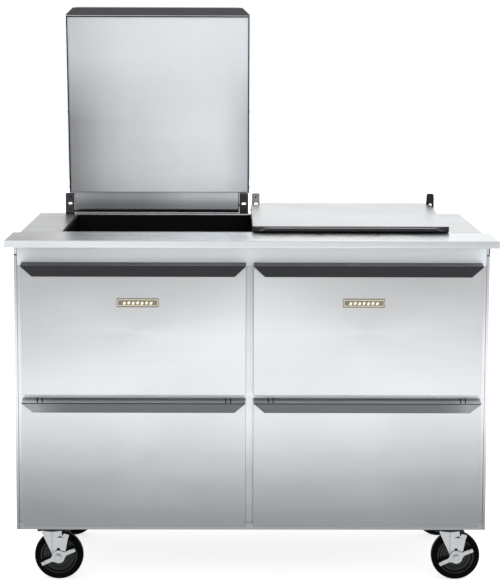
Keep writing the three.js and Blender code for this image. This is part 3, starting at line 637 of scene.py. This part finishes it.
def lid(side, s):
    body = f"lid_{side}"
    mt = turn_about(PIV, "X", -79) if s < 0 else None
    X = lambda a, c: tuple(sorted((s * a, s * c)))
    # outer skin: sloping top sheet with turned-down flanges, notched at the rear corners
    b = B()
    t = bmesh.new()
    x0, x1 = X(2.5, 506)
    n0, n1 = X(30.7, 493.3)
    out = [(x0, LY0), (x1, LY0), (x1, NY), (n1, NY), (n1, LY1), (n0, LY1), (n0, NY), (x0, NY)]
    k = 2.4
    inn = [(x0 + k, LY0 + k), (x1 - k, LY0 + k), (x1 - k, NY - k), (n1 - k, NY - k), (n1 - k, LY1 - k), (n0 + k, LY1 - k), (n0 + k, NY - k), (x0 + k, NY - k)]
    if s > 0:
        pass
    T_ = [t.verts.new((x, y, ztop(y))) for x, y in out]
    Bo = [t.verts.new((x, y, ZB)) for x, y in out]
    Bi = [t.verts.new((x, y, ZB)) for x, y in inn]
    Ti = [t.verts.new((x, y, ztop(y) - k)) for x, y in inn]
    n = len(out)
    t.faces.new(T_)
    t.faces.new(Ti)
    for i in range(n):
        j = (i + 1) % n
        t.faces.new((T_[i], T_[j], Bo[j], Bo[i]))
        t.faces.new((Bo[i], Bo[j], Bi[j], Bi[i]))
        t.faces.new((Bi[i], Bi[j], Ti[j], Ti[i]))
    bmesh.ops.recalc_face_normals(t, faces=t.faces)
    es = [e for e in t.edges if e.calc_face_angle(0) > math.radians(25) and any(v in T_ for v in e.verts)]
    bmesh.ops.bevel(t, geom=es, offset=1.8, segments=3, profile=0.5, affect="EDGES", clamp_overlap=True)
    b._take(t, 0, mt)
    # side screws
    for xs, sg in ((x0, -1), (x1, 1)):
        for y in (483, 700):
            b.screw("x", (xs, y, (ztop(y) + ZB) / 2), 3.4, 1.9, sg, m=1, matrix=mt)
    b.obj(f"lid_sheet_{side}", body, [M["lid"], M["zinc"]], f"lid_skin_{side}")
    # inner sheet: flat field and a rear strip
    b = B()
    kk = k + 0.3
    zl = ZB + 0.6
    # inner sheet and its rear strip carry painted reflection and shade
    b.box(*X(2.5 + kk, 506 - kk), LY0 + kk, NY - kk, zl, zl + 2, 0.5, 2, matrix=mt)
    b.box(*X(30.7 + kk, 493.3 - kk), NY - kk + 0.5, LY1 - kk, zl, zl + 2, 0.5, 2, m=1, matrix=mt)
    b.obj(f"lid_inner_{side}", body, [M["liner"], M["strip"]], f"lid_liner_{side}")
    # seal
    b = B()
    q = X(3.5, 505)
    w = 3.5
    za, zb = ZB - 2, ZB - 0.05
    b.box(q[0], q[1], LY0 + 1, LY0 + 1 + w, za, zb, 0.7, 2, matrix=mt)
    b.box(q[0], q[1], NY - 4.4, NY - 3, za + 0.8, zb, 0.3, 2, m=1, matrix=mt)
    b.box(q[0], q[0] + w, LY0 + 1, NY - 3, za, zb, 0.7, 2, matrix=mt)
    b.box(q[1] - w, q[1], LY0 + 1, NY - 3, za, zb, 0.7, 2, matrix=mt)
    b.obj(f"lid_gasket_{side}", body, [M["seal"], M["seal_grey"]], f"lid_seal_{side}")
    # bevelled grip with mitred ends
    b = B()
    i, k2 = 20, 36
    b.hull([(s * 2.5, 211.7, 892), (s * 506, 211.7, 892), (s * 2.5, 211.7, 905.6), (s * 506, 211.7, 905.6),
            (s * (2.5 + i), 191.3, 895.4), (s * (506 - i), 191.3, 895.4), (s * (2.5 + k2), 191.3, 902.4), (s * (506 - k2), 191.3, 902.4)], 0.5, 3, matrix=mt)
    # light beads along the nose's top and mitred edges: painted highlight lines
    b.box(*X(2.5 + k2, 506 - k2), 191.0, 192.4, 901.8, 902.8, 0.3, 2, m=1, matrix=mt)
    for xb_, xt_ in ((2.5 + i, 2.5 + k2), (506 - i, 506 - k2)):
        b.hull([(s * (xb_ + e), y, 895.6) for e in (-0.7, 0.7) for y in (191.0, 192.4)] + [(s * (xt_ + e), y, 902.6) for e in (-0.7, 0.7) for y in (191.0, 192.4)], 0.2, 1, m=1, matrix=mt)
    b.obj(f"lid_pull_{side}", body, [M["grip"] if s > 0 else M["grip_lid"], M["grip_highlight_bead"]], f"lid_grip_{side}")
    # rail behind the lid, lower corner cut back
    b = B()
    b.extrude([(763.3, 892.4), (772, 898.2), (772, 917), (763.3, 918.8)], "x", *X(30.7, 493.3), 0.6, 2, matrix=mt)
    b.obj(f"lid_rail_{side}", body, M["seal"], f"lid_rear_rail_{side}")


lid("left", -1)
lid("right", 1)

# ---------------------------------------------------------------- brackets
for name, x0, x1, d, h0, h1 in (("left_outer", -519, -494, 1, -511.5, -500), ("left_inner", -30, -5, -1, -24, -11), ("right_inner", 5, 27, 1, 11, 23), ("right_outer", 497, 518, -1, 0, 0)):
    b = B()
    xm = (x0 + x1) / 2
    arc = (0, 0.4, 0.8, 1.2, 1.57)
    cr_ = 4
    top = [(x1, 920.5)] + [(x1 - cr_ + cr_ * math.cos(a), 943 + cr_ * math.sin(a)) for a in arc] + [(x0 + cr_ - cr_ * math.sin(a), 943 + cr_ * math.cos(a)) for a in arc] + [(x0, 920.5)]
    if h1:
        b.box(x0, x1, 748, 751, 889.3, 914.5, 0.4, 2)
        b.box(x0, h0 + 0.5, 748, 751, 914.4, 920.6, 0.4, 1)
        b.box(h1 - 0.5, x1, 748, 751, 914.4, 920.6, 0.4, 1)
        b.extrude(top, "y", 748, 751, 0.4, 2, ang=40)
        # rounded ends of the slot
        for hx, q in ((h0, 1), (h1, -1)):
            pts = [(hx - q * 0.2, 914.4), (hx - q * 0.2, 920.6), (hx + q * 2.4, 920.6)] + [(hx + q * (3.1 - 3.1 * math.cos(t)), 917.5 + 3.1 * math.sin(t)) for t in (1.2, 0.8, 0.4, 0, -0.4, -0.8, -1.2)] + [(hx + q * 2.4, 914.4)]
            b.extrude(pts, "y", 748, 751, 0, 1)
    else:
        # plate with a round hole at (508, 915), built as fan of wedges around it
        t = bmesh.new()
        hx, hz, hr = 508, 915, 4.2
        outer = [(x1, 889.3)] + top + [(x0, 889.3)]
        n = 40
        ring_in, ring_out = [], []
        for k in range(n):
            a = 2 * math.pi * k / n
            dx, dz = math.cos(a), math.sin(a)
            best = 1e9
            for j in range(len(outer)):
                (ax_, az_), (bx_, bz_) = outer[j], outer[(j + 1) % len(outer)]
                ex, ez = bx_ - ax_, bz_ - az_
                den = dx * ez - dz * ex
                if abs(den) < 1e-9:
                    continue
                tt = ((ax_ - hx) * ez - (az_ - hz) * ex) / den
                uu = ((ax_ - hx) * dz - (az_ - hz) * dx) / den
                if tt > 0 and -1e-6 <= uu <= 1 + 1e-6:
                    best = min(best, tt)
            ring_in.append((hx + hr * dx, hz + hr * dz))
            ring_out.append((hx + best * dx, hz + best * dz))
        # corners of the outline replace the nearest ring point so the plate keeps its square foot
        for cx_, cz_ in ((x0, 889.3), (x1, 889.3)):
            k = min(range(n), key=lambda q: (ring_out[q][0] - cx_) ** 2 + (ring_out[q][1] - cz_) ** 2)
            ring_out[k] = (cx_, cz_)
        vi = [[t.verts.new((p[0], y, p[1])) for p in ring_in] for y in (748, 751)]
        vo = [[t.verts.new((p[0], y, p[1])) for p in ring_out] for y in (748, 751)]
        for k in range(n):
            j = (k + 1) % n
            t.faces.new((vi[0][k], vi[0][j], vo[0][j], vo[0][k]))
            t.faces.new((vi[1][k], vi[1][j], vo[1][j], vo[1][k]))
            t.faces.new((vi[0][k], vi[0][j], vi[1][j], vi[1][k]))
            t.faces.new((vo[0][k], vo[0][j], vo[1][j], vo[1][k]))
        b._take(t, 0)
    c0, c1 = (x1 - 3, x1) if d > 0 else (x0, x0 + 3)
    b.box(c0, c1, 750.5, 766, 889.3, 924, 0.5, 2)
    b.box(x0, x1, 748, 762, 889.3, 892, 0.5, 2)
    px = x1 if d > 0 else x0
    b.cyl("x", (px + d * 6, 755, 912), 3.5, 15, 24, 0.5, m=1)
    b.hexhead("z", (xm, 757, 892.8), 3.4, 2.4, m=1)
    # screw heads on the plate face
    for zz in (900.5, 936):
        b.screw("y", (xm, 748, zz), 2.6, 1.2, -1, m=1)
    face = {"right_inner": "bracket_pale", "right_outer": "bracket_black"}.get(name, "bracket")
    b.obj(f"hinge_{name}", "cabinet", [M[face], M["zinc_dark"]], f"bracket_{name}")

# ----------------------------------------------------------------- casters
CX, TR = 510, 17
for cid, kx, ky, br in (("front_left", -CX, 145, 1), ("front_right", CX, 145, 1), ("rear_left", -CX, 605, 0), ("rear_right", CX, 605, 0)):
    ax = kx + TR
    fork, wheel = f"caster_fork_{cid}", f"caster_wheel_{cid}"
    # mounting plate with bolts and the fixed raceway
    # the plate and raceway are near-black zinc: painted shade under the cabinet
    b = B()
    b.box(kx - 47, kx + 47, ky - 47, ky + 47, 145, 149.7, 1.2, 3)
    b.lathe([(0, 136.6), (26, 136.6), (33, 138.5), (34, 141), (34, 145.4), (0, 145.4)], "z", (kx, ky, 0), 40, closed=False)
    for sx in (-38, 38):
        for sy in (-38, 38):
            b.hexhead("z", (kx + sx, ky + sy, 142.6), 7, 5)
    b.obj(f"mount_plate_{cid}", "cabinet", M["zinc_dark"], f"caster_plate_{cid}")
    # pressed fork with raceway, axle and axle nuts
    b = B()
    # raceway and top plate of the fork in near-black zinc: painted shade under the cabinet
    b.lathe([(0, 136.2), (30, 136.2), (35.5, 134.8), (36, 132), (34, 129.5), (30, 128.4), (0, 128.4)], "z", (kx, ky, 0), 40, m=1, closed=False)
    b.box(kx - 37, kx + 37, ky - 26.0, ky + 26.0, 128, 131.6, 1.4, 3, m=1)
    for d in (-1, 1):
        ya, yb = sorted((ky + d * 23.4, ky + d * 26.2))
        foot = [(ax + 15 * math.cos(math.radians(a)), 62.5 + 12 * math.sin(math.radians(a))) for a in range(190, 351, 20)]
        # outer, flanged half of the leg, then the recessed half beyond the crease
        crease = kx + 3
        left = [(kx - 26, 131), (kx - 25, 124), (ax - 15, 66)] + foot[:4] + [(ax - 3, 50.6), (ax - 3, 62), (crease + 2, 131)]
        right = [(crease - 0.5, 131), (crease - 0.5, 60), (ax - 4, 50.6)] + foot[4:] + [(ax + 15.4, 63), (kx + 41, 108), (kx + 44, 117), (kx + 44, 119), (kx + 31, 123), (kx + 29, 118), (kx + 26.5, 118), (kx + 25, 131)]
        b.extrude(left, "y", *sorted((ky + d * 23.2, ky + d * 26.1)), 0.5, 2, ang=28)
        b.extrude(right, "y", *sorted((ky + d * 23.0, ky + d * 25.9)), 0.3, 2, ang=28)
        # shallow pressed band beside the crease, in darker zinc as painted shade
        b.extrude([(crease - 0.4, 130), (crease - 0.4, 64), (crease - 2.6, 66), (crease - 5.5, 130)], "y", *sorted((ky + d * 25.8, ky + d * 26.2)), 0.1, 1, m=3)
        # dark rings at the axle, a slot and a notch in near-black gap plastic: painted shade for these holes and
        # recesses
        b.lathe([(3.2, 0), (4.4, 0), (4.6, -0.5 * d), (4.2, -0.9 * d), (3.4, -0.9 * d), (3.2, -0.5 * d)], "y", (ax, ky + d * 25.9, 81), 20, m=2)
        b.cyl("y", (ax, ky + d * 25.8, 81), 3.3, 0.5, 20, 0.05, m=2)
        b.box(kx + 13, kx + 30, *sorted((ky + d * 25.5, ky + d * 26.05)), 112, 113.6, 0.2, 1, m=2)
        b.extrude([(kx + 17, 113.5), (kx + 26, 113.5), (kx + 21.5, 117.5)], "y", *sorted((ky + d * 25.5, ky + d * 26.05)), 0.2, 1, m=2)
    for d in (-1, 1):
        b.hexhead("y", (ax, ky + d * 30, 62.5), 8.6, 7)
    b.cyl("y", (ax, ky, 62.5), 5.8, 74, 24, 1)
    b.obj(f"fork_{cid}", fork, [M["zinc"], M["zinc_dark"], M["gap"], M["zinc_crease_shade"]], fork)
    # wheel: solid tyre on a recessed, ribbed hub
    b = B()
    tyre = [(47, -15.5), (50, -16), (57, -15.6), (60.8, -13), (62.2, -9), (62.5, -5), (62.5, 5), (62.2, 9), (60.8, 13), (57, 15.6), (50, 16), (47, 15.5)]
    b.lathe(tyre, "y", (ax, ky, 62.5), 72, m=0)
    hub = [(6.4, -20), (12.5, -20), (14, -18.5), (14.5, -12.5), (18, -11), (21, -10.6), (22, -9.2), (30, -8.6), (31, -10.4), (34, -10.8), (35, -9), (40, -9.6), (43, -13.6), (47.4, -14.6),
           (47.4, 14.6), (43, 13.6), (40, 9.6), (35, 9), (34, 10.8), (31, 10.4), (30, 8.6), (22, 9.2), (21, 10.6), (18, 11), (14.5, 12.5), (14, 18.5), (12.5, 20), (6.4, 20)]
    b.lathe(hub, "y", (ax, ky, 62.5), 72, m=1)
    b.obj(f"wheel_{cid}", wheel, [M["tyre"], M["hub"]], wheel, ang=40)
    if br:
        b = B()
        mt = turn_about((ax, ky - 27, 62.5), "Y", -24)
        P0 = (ax, ky - 27, 62.5)
        pts = []
        for x, z in ((-47, -4), (-46, -5), (-20, -5), (-14, -9), (-8, -15), (0, -17), (8, -15), (14, -9), (20, -5), (46, -5), (47, -4), (47, 4), (46, 5), (20, 5), (14, 9), (8, 15), (0, 17), (-8, 15), (-14, 9), (-20, 5), (-46, 5), (-47, 4)):
            pts.append((ax + x, 62.5 + z))
        b.extrude(pts, "y", ky - 30.2, ky - 27, 0.6, 2, matrix=mt, ang=40)
        b.box(ax + 36, ax + 47, ky - 33.5, ky - 27.5, 62.5 - 4.6, 62.5 + 4.6, 1.4, 3, matrix=mt)
        b.box(ax - 47, ax - 38, ky - 32.0, ky - 27.5, 62.5 - 4.6, 62.5 + 4.6, 1.2, 3, matrix=mt)
        b.lathe([(6.4, -30.6), (9.5, -30.6), (10.2, -30), (10.2, -29.2), (6.4, -29.2)], "y", (ax, ky, 62.5), 28, m=0)
        b.obj(f"brake_pedal_{cid}", f"brake_lever_{cid}", M["zinc"], f"brake_lever_{cid}")

# ------------------------------------------- CAD nodes that stay, finished
keep = dict(rear_bulkhead="pan", slide_rack_left="zinc", slide_rack_right="zinc", slide_rack_center="zinc", compressor="enamel",
            condenser_unit="fin", condenser_fan="zinc", evaporator_coil="fin")
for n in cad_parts:
    if n.startswith("drawer_pan"):
        keep[n] = "pan"
for n, k in keep.items():
    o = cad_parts[n]
    o.data.materials.clear()
    o.data.materials.append(M[k])
    if k == "pan" and n.startswith("drawer_pan"):
        # the inside of each open pan is shaded darker towards its floor
        o.data.materials.append(M["pan_in"])
        mw = o.matrix_world
        mid = sum(((mw @ Vector(c)) for c in o.bound_box), Vector()) / 8
        top = max((mw @ Vector(c)).z for c in o.bound_box)
        low = min((mw @ Vector(c)).z for c in o.bound_box)
        for f in o.data.polygons:
            c = mw @ f.center
            nn = (mw.to_3x3() @ f.normal).normalized()
            d = mid - c
            d.z = 0
            side_in = abs(nn.z) < 0.3 and nn.dot(d) > 0.02 and abs(c.z - (top + low) / 2) < 0.5 * (top - low)
            if (side_in or (nn.z > 0.9 and c.z < low + 0.02)) and f.area > 0.005:
                f.material_index = 1
    md = o.modifiers.new("edge", "BEVEL")
    md.width = 0.0006
    md.segments = 2
    md.limit_method = "ANGLE"
    md.angle_limit = math.radians(35)

# ------------------------------------------------------------------- stage
me = bpy.data.meshes.new("floor")
L = 14
me.from_pydata([(-L, -L, 0), (L, -L, 0), (L, L, 0), (-L, L, 0)], [], [(0, 1, 2, 3)])
floor = bpy.data.objects.new("floor", me)
bpy.context.scene.collection.objects.link(floor)
fm, nt, p, tc = _mat("floor_pale")
p.inputs["Base Color"].default_value = (0.76, 0.76, 0.76, 1)
p.inputs["Emission Color"].default_value = (1, 1, 1, 1)
p.inputs["Emission Strength"].default_value = 0.7
p.inputs["Roughness"].default_value = 0.9
p.inputs["Specular IOR Level"].default_value = 0.1
me.materials.append(fm)

w = bpy.data.worlds.new("studio")
bpy.context.scene.world = w
w.use_nodes = True
nt = w.node_tree
nt.nodes.clear()
out = nt.nodes.new("ShaderNodeOutputWorld")
bg = nt.nodes.new("ShaderNodeBackground")
tc = nt.nodes.new("ShaderNodeTexCoord")
sx = nt.nodes.new("ShaderNodeSeparateXYZ")
nt.links.new(tc.outputs["Generated"], sx.inputs[0])
cr = nt.nodes.new("ShaderNodeValToRGB")
nt.links.new(_range(nt, sx.outputs[1], -1, 1, 0, 1), cr.inputs[0])
cr.color_ramp.elements[0].color = (0.62, 0.62, 0.63, 1)
cr.color_ramp.elements[1].color = (1.0, 1.0, 1.0, 1)
cr.color_ramp.elements[1].position = 0.75
nt.links.new(cr.outputs[0], bg.inputs[0])
bg.inputs[1].default_value = 1.0
nt.links.new(bg.outputs[0], out.inputs[0])


def area(name, loc, to, size, power, colour=(1, 1, 1)):
    ld = bpy.data.lights.new(name, "AREA")
    ld.shape = "RECTANGLE"
    ld.size, ld.size_y = size
    ld.energy = power
    ld.color = colour
    o = bpy.data.objects.new(name, ld)
    bpy.context.scene.collection.objects.link(o)
    o.location = loc
    d = Vector(to) - Vector(loc)
    o.rotation_euler = d.to_track_quat("-Z", "Y").to_euler()
    return o


area("top_soft", (0, -1.2, 3.6), (0, 0, 0.6), (3.2, 2.4), 60)
area("front_soft", (0.6, -4.2, 2.2), (0, 0, 0.5), (3.0, 1.6), 40)

sc = bpy.context.scene
sc.view_settings.view_transform = "Standard"
sc.view_settings.look = "None"
sc.view_settings.exposure = 0.0
